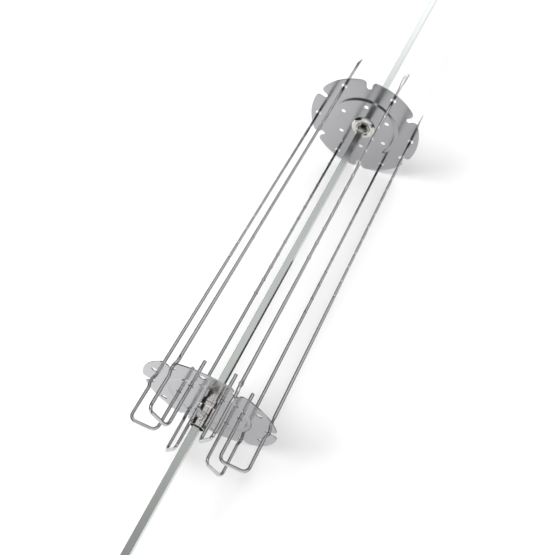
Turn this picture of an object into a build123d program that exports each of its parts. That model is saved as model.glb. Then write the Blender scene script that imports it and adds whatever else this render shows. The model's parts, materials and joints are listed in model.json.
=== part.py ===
from build123d import *
import os
from math import cos, pi, sin

# Rotisserie kebab set: a square spit that carries two pierced wheels, and six wire skewers that
# lie between the wheels like the bars of a cage.
# Frame: +X along the spit, from the skewers' handles to their points; +Z up. The set lies on its
# wheels' rims, and the origin is on that surface, under the middle of the whole set. Millimetres.

# ---- driving dimensions ----
WHEEL_D = 160.0          # both wheels
WHEEL_SPACING = 460.0    # between the wheels' middle planes
SPIT_SIDE = 8.0          # square bar
SPIT_LENGTH = 1030.0
SPIT_DRIVE_LENGTH = 200.0  # from the spit's square drive end to the handle-side wheel
WIRE_D = 3.8             # skewer wire
SKEWERS = 6
OUTER_HOLE_RING = 69.4   # radius of the ring of skewer holes
SKEWER_RING = 68.8       # radius of the ring of skewers, which lie near the bottoms of the notches
INNER_HOLE_RING = 36.6   # radius of the ring of holes for the handles' return legs

# ---- wheel ----
WHEEL_R = WHEEL_D / 2
SHEET = 1.2
STEP = 0.8               # height of the stamped step
STEP_R_IN = 45.5
STEP_R_OUT = 51.0
OUTER_HOLE_R = 4.0
INNER_HOLE_R = 3.3
NOTCH_WIDTH = 8.0
NOTCH_BOTTOM_R = 66.6    # from the wheel's centre to the bottom of a notch
NOTCH_LIP_R = 6.0        # rounding where a notch meets the rim
SHEET_EDGE_R = 0.3
PITCH = 360 / SKEWERS

# ---- hub: a turned collar outside the wheel, a rounded ring inside it ----
HUB_R = 8.9
HUB_BORE_R = 7.9
HUB_LENGTH = 27.0        # from the wheel's middle plane to the hub's outer end
HUB_FLANGE_R = 11.4
HUB_FLANGE_T = 4.2
HUB_EDGE_R = 0.4
HUB_SPIGOT = 2.3         # how far the hub reaches past the wheel, inside the ring
RING_R = 17.5
RING_HEIGHT = 3.8
PRESS_GAP = 0.02         # between the hub and what is pressed on it

# ---- thumbscrew, and the boss on the hub that it turns in ----
SCREW_X = -15.5          # from the wheel's middle plane
SCREW_R = 2.9
SCREW_THREAD_R = 2.55    # at the bottom of the thread
SCREW_PITCH = 1.0
SCREW_GAP = 0.05         # between the screw and its boss, and between its end and the spit
HUB_SCREW_GAP = 0.15     # between the screw and the hub's wall
BOSS_R = 4.6
BOSS_TOP = 10.6          # from the spit's axis
BOSS_EDGE_R = 0.5
NECK = 0.6               # bare shank between the boss and the screw's collar
COLLAR_R = 3.8
COLLAR_T = 1.2
BLADE_WIDTH = 13.0
BLADE_HEIGHT = 8.0
BLADE_T = 2.4
BLADE_CORNER_R = 3.2
BLADE_EDGE_R = 0.6
BLADE_TURN = 45.0        # of the blade from the spit's direction

# ---- skewer; x is from the handle-side wheel's middle plane, towards the points ----
TIP_X = 522.0
POINT_LENGTH = 9.0       # the end is cut aslant, which leaves the point at one edge
TIP_BLUNT = 0.4
BLADE_LENGTH = 34.0      # flattened part, with the point
BLADE_HALF_WIDTH = 3.3
BLADE_HALF_T = 0.8
NIB_FIRST_X = 181.0
NIB_SPACING = 22.4
NIBS = 12
NIB_HALF_LENGTH = 2.4
NIB_HALF_WIDTH = 2.65
NIB_HALF_T = 1.55
STOP_X = 13.5            # middle of the flattened stop, just inside the wheel
STOP_HALF_LENGTH = 3.5
STOP_HALF_WIDTH = 2.7
STOP_HALF_T = 1.3
BUMP_START_X = 8.5       # the wire bulges outwards where it crosses the wheel
BUMP_END_X = -8.5
BUMP_TOP = 3.0           # half the length of the bulge's flat top
BUMP_HEIGHT = 1.9
BUMP_BEND_R = 3.5
JOIN_X = 9.5             # where the bent handle meets the straight run
HANDLE_X = -48.0         # middle of the handle's end bar
HANDLE_BEND_R = 6.5
RETURN_X = 32.0          # end of the return leg, inside the wheels
RETURN_CHAMFER = 0.5

# ---- spit ----
SPIT_CORNER_R = 0.5
SPIT_POINT = 24.0
SPIT_TIP_SIDE = 1.2
SPIT_CHAMFER = 1.2

OVER = 1.0               # how far a cutting solid reaches past what it cuts
ON_FACE = 0.1            # an edge this near a face lies on it

AXIS_Z = WHEEL_R
DRIVE_END_X = -SPIT_LENGTH / 2
NEAR_X = DRIVE_END_X + SPIT_DRIVE_LENGTH
FAR_X = NEAR_X + WHEEL_SPACING


def across(x, z=0):
    """The plane square to the spit at x: its first direction is +Y and its second +Z."""
    return Plane(origin=(x, 0, z), x_dir=(0, 1, 0), z_dir=(1, 0, 0))


def rod(radius, x0, x1):
    """A cylinder along X, from x0 to x1."""
    return extrude(across(x0) * Circle(radius), x1 - x0)


def upright(radius, z0, z1):
    """A cylinder along the thumbscrew's line, from z0 to z1 above the spit's axis."""
    return Pos(SCREW_X, 0, z0) * Cylinder(radius, z1 - z0, align=(Align.CENTER, Align.CENTER, Align.MIN))


def about_axis(shape, angle):
    """The shape turned about the spit's direction, from +Z towards -Y for a positive angle."""
    return Rot(angle, 0, 0) * shape


# ---- wheel and hub, drawn with the hub towards -X ----
def hole_ring(radius, hole_r, first_angle):
    """A ring of drills through the wheel; an angle of 0 is straight up."""
    drill = Pos(0, 0, radius) * rod(hole_r, -SHEET / 2 - OVER, STEP + SHEET / 2 + OVER)
    return [about_axis(drill, first_angle + i * PITCH) for i in range(SKEWERS)]


def wheel_outline():
    """The rim with its six notches, each with a round bottom and rounded lips."""
    notch_r = NOTCH_WIDTH / 2
    centre = NOTCH_BOTTOM_R + notch_r
    notch = Pos(0, centre) * Circle(notch_r) + Pos(0, centre + WHEEL_R / 2) * Rectangle(NOTCH_WIDTH, WHEEL_R)
    outline = Circle(WHEEL_R)
    for i in range(SKEWERS):
        outline -= Rot(0, 0, PITCH / 2 + i * PITCH) * notch
    lips = [v for v in outline.vertices() if Vector(v).length > WHEEL_R - ON_FACE]
    return fillet(lips, NOTCH_LIP_R)


def sheet_face(x):
    """The edge of one face of the sheet, from the axis outwards, with the S-shaped step; x is at the rim."""
    inner, outer = (STEP + x, STEP_R_IN), (x, STEP_R_OUT)
    return [Line((STEP + x, 0), inner), Spline(inner, outer, tangents=[(0, 1), (0, 1)]),
            Line(outer, (x, WHEEL_R + OVER))]


def wheel_disc():
    """Stamped sheet: the middle stands one step nearer to the other wheel than the rim does."""
    h = SHEET / 2
    ends = [Line((STEP - h, 0), (STEP + h, 0)), Line((-h, WHEEL_R + OVER), (h, WHEEL_R + OVER))]
    dish = revolve(Plane.XZ * make_face(sheet_face(-h) + sheet_face(h) + ends), Axis.X)
    disc = dish & extrude(across(-h - OVER) * wheel_outline(), SHEET + STEP + 2 * OVER)
    rim = [e for e in disc.edges() if e.length < WHEEL_R and abs(abs(e.center().X) - h) < ON_FACE
           and Vector(0, e.center().Y, e.center().Z).length > NOTCH_BOTTOM_R - OVER]
    disc = fillet(rim, SHEET_EDGE_R)
    disc -= rod(HUB_R + PRESS_GAP, -h - OVER, STEP + h + OVER)
    for drill in hole_ring(OUTER_HOLE_RING, OUTER_HOLE_R, 0) + hole_ring(INNER_HOLE_RING, INNER_HOLE_R, PITCH / 2):
        disc -= drill
    return disc


def hub():
    """The collar and its flange, with a spigot that passes through the wheel."""
    back = STEP - SHEET / 2
    front = STEP + SHEET / 2 + HUB_SPIGOT
    collar = rod(HUB_R, -HUB_LENGTH, front)
    flange = rod(HUB_FLANGE_R, back - HUB_FLANGE_T, back)
    body = collar + flange - rod(HUB_BORE_R, -HUB_LENGTH - OVER, front + OVER)
    ends = [e for e in body.edges().filter_by(GeomType.CIRCLE)
            if e.center().X < back - HUB_FLANGE_T - OVER or e.radius > HUB_R + ON_FACE]
    return fillet(ends, HUB_EDGE_R) - upright(SCREW_R + HUB_SCREW_GAP, 0, BOSS_TOP)


def hub_ring():
    """The rolled bead round the hub's end: half an ellipse turned about the axis, on the wheel's inner face."""
    face = STEP + SHEET / 2
    middle = (RING_R + HUB_R) / 2
    half_width = (RING_R - HUB_R) / 2
    bead = Pos(face, middle) * Ellipse(RING_HEIGHT, half_width) & Pos(
        face + RING_HEIGHT, middle) * Rectangle(2 * RING_HEIGHT, 3 * half_width)
    return revolve(Plane.XZ * bead, Axis.X) - rod(HUB_R + PRESS_GAP, 0, face + RING_HEIGHT)


def screw_boss():
    """A round nut welded on the hub, which the thumbscrew turns in."""
    boss = upright(BOSS_R, 0, BOSS_TOP)
    top = [e for e in boss.edges() if e.center().Z > BOSS_TOP - ON_FACE]
    boss = fillet(top, BOSS_EDGE_R) - rod(HUB_R + PRESS_GAP, -HUB_LENGTH, 0)
    return boss - upright(SCREW_R + SCREW_GAP, -OVER, BOSS_TOP + OVER)


def thumbscrew():
    """A threaded shank that presses on the spit, a small collar and a flat finger blade."""
    low = SPIT_SIDE / 2 + SCREW_GAP
    outline = [(0, low), (SCREW_THREAD_R, low)]
    turns = int((BOSS_TOP - low) / SCREW_PITCH)
    for i in range(turns):
        z = low + i * SCREW_PITCH
        outline += [(SCREW_R, z + SCREW_PITCH / 2), (SCREW_THREAD_R, z + SCREW_PITCH)]
    seat_z = BOSS_TOP + NECK
    outline += [(SCREW_THREAD_R, seat_z), (COLLAR_R, seat_z), (COLLAR_R, seat_z + COLLAR_T), (0, seat_z + COLLAR_T)]
    shank = revolve(Plane.XZ * make_face(Polyline(*outline, close=True)), Axis.Z)
    plate = RectangleRounded(BLADE_WIDTH, BLADE_HEIGHT, BLADE_CORNER_R)
    blade = extrude(Plane.XZ * plate, BLADE_T / 2, both=True)
    blade = fillet([f for f in blade.faces() if abs(f.normal_at().Y) > 0.9][0].edges(), BLADE_EDGE_R)
    blade = fillet([f for f in blade.faces() if f.normal_at().Y > 0.9][0].edges(), BLADE_EDGE_R)
    blade = Pos(0, 0, seat_z + COLLAR_T / 2 + BLADE_HEIGHT / 2) * blade
    return Pos(SCREW_X, 0, 0) * Rot(0, 0, BLADE_TURN) * (shank + blade)


# ---- skewer, drawn above the spit's axis, in the XZ plane ----
def section(x, half_width, half_t):
    """An oval across the wire at x; half_width is sideways, half_t towards the axis."""
    return across(x, SKEWER_RING) * Ellipse(half_width, half_t)


def pinch(x, half_length, half_width, half_t):
    """Sections of one place where the wire is pinched flat: a smooth swell sideways."""
    wire = WIRE_D / 2
    sections = []
    for i in range(5):
        share = (1 - cos(pi * i / 2)) / 2
        sections.append((x + (i / 2 - 1) * half_length, wire + (half_width - wire) * share,
                         wire + (half_t - wire) * share))
    return sections


def spear():
    """Sections of the flattened end, from the round wire to the point."""
    wire = WIRE_D / 2
    start = TIP_X - BLADE_LENGTH
    steps = 6
    sections = []
    for i in range(steps + 1):
        share = sin(pi / 2 * i / steps)
        x = start + (BLADE_LENGTH - POINT_LENGTH) * i / steps
        sections.append((x, wire + (BLADE_HALF_WIDTH - wire) * share, wire + (BLADE_HALF_T - wire) * share))
    return sections + [(TIP_X, BLADE_HALF_WIDTH, BLADE_HALF_T / 2)]


def point_cut():
    """What the slanting cut takes off the end."""
    side = BLADE_HALF_WIDTH
    shoulder = TIP_X - POINT_LENGTH
    outline = Polyline((shoulder, 2 * side), (shoulder, side), (TIP_X, TIP_BLUNT - side),
                       (TIP_X + OVER, TIP_BLUNT - side), (TIP_X + OVER, 2 * side), close=True)
    return extrude(Pos(0, 0, SKEWER_RING) * make_face(outline), 2 * WIRE_D, both=True)


def skewer():
    """The wire from its point through the handle's loop to the end of the return leg."""
    wire = WIRE_D / 2
    cuts = [(JOIN_X, wire, wire)] + pinch(STOP_X, STOP_HALF_LENGTH, STOP_HALF_WIDTH, STOP_HALF_T)
    for i in range(NIBS):
        cuts += pinch(NIB_FIRST_X + i * NIB_SPACING, NIB_HALF_LENGTH, NIB_HALF_WIDTH, NIB_HALF_T)
    cuts += spear()
    straight = loft([section(*cut) for cut in cuts], ruled=True) - point_cut()
    top = SKEWER_RING + BUMP_HEIGHT
    bends = [(BUMP_START_X, SKEWER_RING), (BUMP_TOP, top), (-BUMP_TOP, top), (BUMP_END_X, SKEWER_RING),
             (HANDLE_X, SKEWER_RING), (HANDLE_X, INNER_HOLE_RING)]
    route = FilletPolyline(
        (JOIN_X, 0, SKEWER_RING), *[(x, 0, z) for x, z in bends], (RETURN_X, 0, INNER_HOLE_RING),
        radius=4 * [BUMP_BEND_R] + 2 * [HANDLE_BEND_R])
    handle = sweep(section(JOIN_X, wire, wire), path=route)
    end = [e for e in handle.edges() if e.center().X > RETURN_X - ON_FACE]
    return straight + chamfer(end, RETURN_CHAMFER)


# ---- spit ----
def across_spit(x, side):
    """The bar's cross-section at x, shrunk to the given side."""
    return across(x) * RectangleRounded(side, side, SPIT_CORNER_R * side / SPIT_SIDE)


def spit():
    """The square bar: a chamfered end for the motor, and a four-sided point."""
    full = SPIT_SIDE
    cuts = [(0, full - 2 * SPIT_CHAMFER), (SPIT_CHAMFER, full), (SPIT_LENGTH - SPIT_POINT, full),
            (SPIT_LENGTH, SPIT_TIP_SIDE)]
    return Pos(DRIVE_END_X, 0, AXIS_Z) * loft([across_spit(*c) for c in cuts], ruled=True)


# ---- assembly ----
def near(shape):
    """In place at the handle-side wheel."""
    return Pos(NEAR_X, 0, AXIS_Z) * shape


def far(shape):
    """In place at the points' wheel: end for end, and a quarter turn on the square spit,
    which brings its holes in line with the other wheel's notches."""
    return Pos(FAR_X, 0, AXIS_Z) * Rot(90, 0, 0) * Rot(0, 0, 180) * shape


wheel_pieces = {"disc": wheel_disc(), "hub": hub(), "hub_ring": hub_ring(), "screw_boss": screw_boss(),
                "thumbscrew": thumbscrew()}
nodes = {"spit": spit()}
for name, shape in wheel_pieces.items():
    nodes["near_" + name] = near(shape)
    nodes["far_" + name] = far(shape)
one_skewer = skewer()
for number in range(SKEWERS):
    nodes[f"skewer_{number + 1}"] = near(about_axis(one_skewer, PITCH / 2 + number * PITCH))

os.makedirs("parts", exist_ok=True)
for name, shape in nodes.items():
    export_step(shape, f"parts/{name}.step")
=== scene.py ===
import json
from math import radians

import bpy
from mathutils import Euler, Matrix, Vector


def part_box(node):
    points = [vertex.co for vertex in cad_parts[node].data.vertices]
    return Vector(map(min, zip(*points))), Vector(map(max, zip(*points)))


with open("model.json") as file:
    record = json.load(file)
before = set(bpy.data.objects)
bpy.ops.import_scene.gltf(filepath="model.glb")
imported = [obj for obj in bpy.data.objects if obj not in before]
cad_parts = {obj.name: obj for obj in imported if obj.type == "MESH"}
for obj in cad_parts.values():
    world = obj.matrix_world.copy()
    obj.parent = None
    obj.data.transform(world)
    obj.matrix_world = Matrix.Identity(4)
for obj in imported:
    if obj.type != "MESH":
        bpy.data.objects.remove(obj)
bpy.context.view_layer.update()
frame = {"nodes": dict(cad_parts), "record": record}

# Rotisserie kebab set, in metres: +X runs from the skewers' handles to their points, and +Z is up.
NEAR_DISC, FAR_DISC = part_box("near_disc"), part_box("far_disc")
NEAR_X = (NEAR_DISC[0].x + NEAR_DISC[1].x) / 2
FAR_X = (FAR_DISC[0].x + FAR_DISC[1].x) / 2
AXIS_Z = (NEAR_DISC[0].z + NEAR_DISC[1].z) / 2
SET_MIDDLE = Vector(((NEAR_X + FAR_X) / 2, 0, AXIS_Z))

# ---- camera: from above the handles, looking down along the spit ----
CAMERA_AT = (-0.5337, -0.1819, 0.7403)
CAMERA_HEADING = 24.95      # degrees from +X towards +Y
CAMERA_DIP = 56.46          # degrees below the horizon
LENS_MM = 42.96
SENSOR_MM = 36.0
NEAR_CLIP, FAR_CLIP = 0.02, 50

# ---- metals: colour, roughness, how far it wanders, marks per metre along X, Y and Z, relief ----
METALS = {
    "spit_steel": ((0.60, 0.63, 0.61), 0.22, 0.05, (60, 900, 900), 0.05),
    "wheel_sheet": ((0.42, 0.42, 0.435), 0.14, 0.05, (300, 300, 300), 0.03),
    "bright_hub": ((0.68, 0.66, 0.63), 0.05, 0.03, (400, 400, 400), 0.03),
    "bright_screw": ((0.6, 0.6, 0.6), 0.12, 0.03, (400, 400, 400), 0.03),
    "skewer_wire": ((0.53, 0.53, 0.53), 0.04, 0.02, (100, 900, 900), 0.03),
}
MARK_DETAIL = 4.0
MARK_ROUGHNESS = 0.6
RELIEF_DEPTH = 0.0002
SHARP_EDGE = 30             # degrees between faces from which an edge stays sharp

# ---- the dome: stops of (how closely a direction points there, brightness) ----
# BAND goes by the middle of a band overhead that runs along the set. ALONG and ENDS go by +X, from -1
# for straight against it to 1 for straight along it: ENDS is added to the band and ALONG multiplies both.
BAND_MIDDLE = (0, -0.269, 0.963)
BAND = [(0.0, 0.03), (0.55, 0.03), (0.72, 1.0), (1.0, 1.0)]
ALONG = [
    (-1.0, 0.9), (-0.88, 0.9), (-0.8, 0.1), (-0.6, 0.1), (-0.48, 1.2), (-0.25, 1.2), (-0.12, 0.25),
    (0.1, 0.34), (0.2, 0.52), (0.4, 0.8), (0.52, 0.72), (0.64, 0.6), (0.75, 0.74), (0.82, 1.0),
]
ENDS = [(-1.0, 0.8), (-0.88, 0.8), (-0.8, 0.0), (0.7, 0.0), (0.78, 0.35), (0.9, 0.8), (1.0, 0.8)]
DOME_STRENGTH = 1.2

# ---- floor, backdrop, reflection card and lights ----
FLOOR_SIZE = 6
FLOOR_GREY = 0.9
FLOOR_ROUGHNESS = 0.9
FLOOR_SHINE = 0.1
BACKDROP_R = 12
CARD_GREY = 0.07
CARD_HEIGHT = 0.001         # just above the floor
CARD_HALF_WIDTH = 0.45
CARD_START = NEAR_X + 0.005
CARD_END = FAR_X - 0.2      # the far disc mirrors the pale floor beyond this
# where a light stands from the set's middle, its size and its watts
KEY = ((-0.7, 1.5, 1.8), 1.4, 44)
FILL = ((0, 0, 2.6), 5, 28)


def make_camera():
    data = bpy.data.cameras.new("camera")
    data.lens = LENS_MM
    data.sensor_width = SENSOR_MM
    data.clip_start = NEAR_CLIP
    data.clip_end = FAR_CLIP
    camera = bpy.data.objects.new("camera", data)
    camera.location = CAMERA_AT
    camera.rotation_euler = Euler((radians(90 - CAMERA_DIP), 0, radians(CAMERA_HEADING - 90)))
    bpy.context.scene.collection.objects.link(camera)
    bpy.context.scene.camera = camera


# ---- materials ----
def node_material(name):
    material = bpy.data.materials.new(name)
    material.use_nodes = True
    tree = material.node_tree
    return material, tree, tree.nodes["Principled BSDF"]


def add(tree, kind, **inputs):
    """A node of that kind; inputs are its sockets' values, by name with _ for a space."""
    node = tree.nodes.new(kind)
    for name, value in inputs.items():
        node.inputs[name.replace("_", " ")].default_value = value
    return node


def grey(value):
    return value, value, value, 1


def metal(name, color, roughness, spread, grain, bump):
    """Polished or rolled metal: roughness wanders by spread, and grain is the scale of fine marks."""
    material, tree, shader = node_material(name)
    link = tree.links.new
    shader.inputs["Base Color"].default_value = (*color, 1)
    shader.inputs["Metallic"].default_value = 1
    place = add(tree, "ShaderNodeTexCoord")
    stretch = add(tree, "ShaderNodeMapping", Scale=grain)
    link(place.outputs["Object"], stretch.inputs["Vector"])
    marks = add(tree, "ShaderNodeTexNoise", Scale=1.0, Detail=MARK_DETAIL, Roughness=MARK_ROUGHNESS)
    link(stretch.outputs["Vector"], marks.inputs["Vector"])
    wander = add(tree, "ShaderNodeMapRange", To_Min=roughness - spread, To_Max=roughness + spread)
    link(marks.outputs["Fac"], wander.inputs["Value"])
    link(wander.outputs["Result"], shader.inputs["Roughness"])
    relief = add(tree, "ShaderNodeBump", Strength=bump, Distance=RELIEF_DEPTH)
    link(marks.outputs["Fac"], relief.inputs["Height"])
    link(relief.outputs["Normal"], shader.inputs["Normal"])
    return material


def finish_nodes():
    """Gives each CAD node the metal of its material slot, and smooth shading with sharp edges kept."""
    looks = {slot: metal(slot, *values) for slot, values in METALS.items()}
    slots = {part["node"]: part["material_slot"] for part in frame["record"]["subparts"]}
    for name, obj in frame["nodes"].items():
        obj.data.materials.clear()
        obj.data.materials.append(looks[slots[name]])
        obj.data.shade_smooth()
        obj.data.set_sharp_from_angle(angle=radians(SHARP_EDGE))


# ---- surroundings ----
def make_floor():
    bpy.ops.mesh.primitive_plane_add(size=FLOOR_SIZE, location=(0, 0, 0))
    floor = bpy.context.object
    floor.name = "floor"
    material, _, shader = node_material("floor_white")
    shader.inputs["Base Color"].default_value = grey(FLOOR_GREY)
    shader.inputs["Roughness"].default_value = FLOOR_ROUGHNESS
    shader.inputs["Specular IOR Level"].default_value = FLOOR_SHINE
    floor.data.materials.append(material)


def color_ramp(tree, stops):
    """A ramp of greys from (position, brightness) pairs."""
    ramp = add(tree, "ShaderNodeValToRGB")
    elements = ramp.color_ramp.elements
    while len(elements) < len(stops):
        elements.new(0.5)
    for element, (position, value) in zip(elements, stops):
        element.position = position
        element.color = grey(value)
    return ramp


def halved(stops):
    """The same stops for a ramp that runs over -1 to 1."""
    return [((position + 1) / 2, value) for position, value in stops]


def mixed(tree, how, first, second):
    """Two colours added or multiplied, in full."""
    mix = add(tree, "ShaderNodeMix")
    mix.data_type = "RGBA"
    mix.blend_type = how
    mix.inputs["Factor"].default_value = 1
    tree.links.new(first, mix.inputs["A"])
    tree.links.new(second, mix.inputs["B"])
    return mix.outputs["Result"]


def vector_math(tree, operation, first, second=None):
    node = add(tree, "ShaderNodeVectorMath")
    node.operation = operation
    tree.links.new(first, node.inputs[0])
    if second:
        node.inputs[1].default_value = second
    return node


def make_world():
    """A dome that is bright overhead, in a band along the set, and dark to both sides: bright wire gets
    a light core between dark edges. Both ends are lit all round, for the discs to mirror, and along the
    set the brightness changes, most of all over the handles."""
    world = bpy.data.worlds.new("studio")
    world.use_nodes = True
    bpy.context.scene.world = world
    tree = world.node_tree
    link = tree.links.new
    background = tree.nodes["Background"]
    direction = add(tree, "ShaderNodeTexCoord").outputs["Generated"]

    across = vector_math(tree, "MULTIPLY", direction, (0, 1, 1))
    unit = vector_math(tree, "NORMALIZE", across.outputs["Vector"])
    facing = vector_math(tree, "DOT_PRODUCT", unit.outputs["Vector"], BAND_MIDDLE)
    band = color_ramp(tree, BAND)
    link(facing.outputs["Value"], band.inputs["Fac"])

    split = add(tree, "ShaderNodeSeparateXYZ")
    link(direction, split.inputs["Vector"])
    ahead = add(tree, "ShaderNodeMapRange", From_Min=-1.0)
    link(split.outputs["X"], ahead.inputs["Value"])
    along = color_ramp(tree, halved(ALONG))
    link(ahead.outputs["Result"], along.inputs["Fac"])
    ends = color_ramp(tree, halved(ENDS))
    link(ahead.outputs["Result"], ends.inputs["Fac"])
    around = mixed(tree, "ADD", band.outputs["Color"], ends.outputs["Color"])
    dome = mixed(tree, "MULTIPLY", around, along.outputs["Color"])
    link(dome, background.inputs["Color"])
    background.inputs["Strength"].default_value = DOME_STRENGTH


def make_backdrop():
    """A white sphere round the set that only the camera sees."""
    bpy.ops.mesh.primitive_uv_sphere_add(segments=64, ring_count=32, radius=BACKDROP_R)
    backdrop = bpy.context.object
    backdrop.name = "backdrop"
    material, tree, shader = node_material("backdrop_white")
    glow = add(tree, "ShaderNodeEmission", Color=grey(1), Strength=1.0)
    tree.links.new(glow.outputs["Emission"], tree.nodes["Material Output"].inputs["Surface"])
    tree.nodes.remove(shader)
    backdrop.data.materials.append(material)
    backdrop.visible_glossy = False
    backdrop.visible_diffuse = False
    backdrop.visible_transmission = False
    backdrop.visible_shadow = False


def make_card():
    """A dark card on the floor between the wheels that only reflections see."""
    mesh = bpy.data.meshes.new("card_between")
    corners = [(CARD_START, -CARD_HALF_WIDTH), (CARD_END, -CARD_HALF_WIDTH),
               (CARD_END, CARD_HALF_WIDTH), (CARD_START, CARD_HALF_WIDTH)]
    mesh.from_pydata([(x, y, CARD_HEIGHT) for x, y in corners], [], [(0, 1, 2, 3)])
    card = bpy.data.objects.new("card_between", mesh)
    bpy.context.scene.collection.objects.link(card)
    material, _, shader = node_material("card_between")
    shader.inputs["Base Color"].default_value = grey(CARD_GREY)
    shader.inputs["Specular IOR Level"].default_value = 0
    mesh.materials.append(material)
    card.visible_camera = False
    card.visible_diffuse = False
    card.visible_shadow = False


def soft_light(name, place, size, watts):
    """A square area light that faces the set's middle and has no reflection of its own."""
    data = bpy.data.lights.new(name, "AREA")
    data.shape = "RECTANGLE"
    data.size = data.size_y = size
    data.energy = watts
    light = bpy.data.objects.new(name, data)
    light.location = SET_MIDDLE + Vector(place)
    light.rotation_euler = Vector(place).to_track_quat("Z", "Y").to_euler()
    light.visible_glossy = False
    bpy.context.scene.collection.objects.link(light)


def make_studio():
    make_floor()
    make_world()
    make_backdrop()
    make_card()
    soft_light("key", *KEY)
    soft_light("fill", *FILL)
    bpy.context.scene.view_settings.view_transform = "Standard"


make_camera()
finish_nodes()
make_studio()
